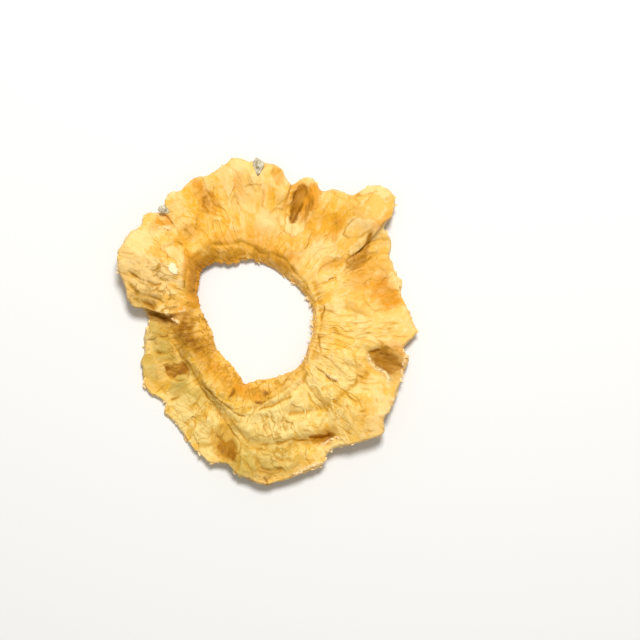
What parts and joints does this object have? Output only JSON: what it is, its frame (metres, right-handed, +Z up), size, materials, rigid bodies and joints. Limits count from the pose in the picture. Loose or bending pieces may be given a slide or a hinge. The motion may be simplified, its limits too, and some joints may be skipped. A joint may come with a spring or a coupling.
{
  "type": "dried pineapple ring",
  "caption": "Thin dried pineapple slice with a core hole, a ragged scalloped edge, raised lobes, eye hollows and wrinkles, lying flat.",
  "frame": {"origin": "middle of the ring's plan, at the height of the flat spots that it lies on", "axes": "+Z up, out of the upper face; +Y along the ring's longest way across, +X along its width"},
  "size_m": [0.0838, 0.0918, 0.0122],
  "materials": {
    "dried_pineapple": "satin, leathery dried fruit flesh"
  },
  "bodies": {
    "root": {"pineapple_ring": "dried_pineapple"}
  },
  "joints": []
}
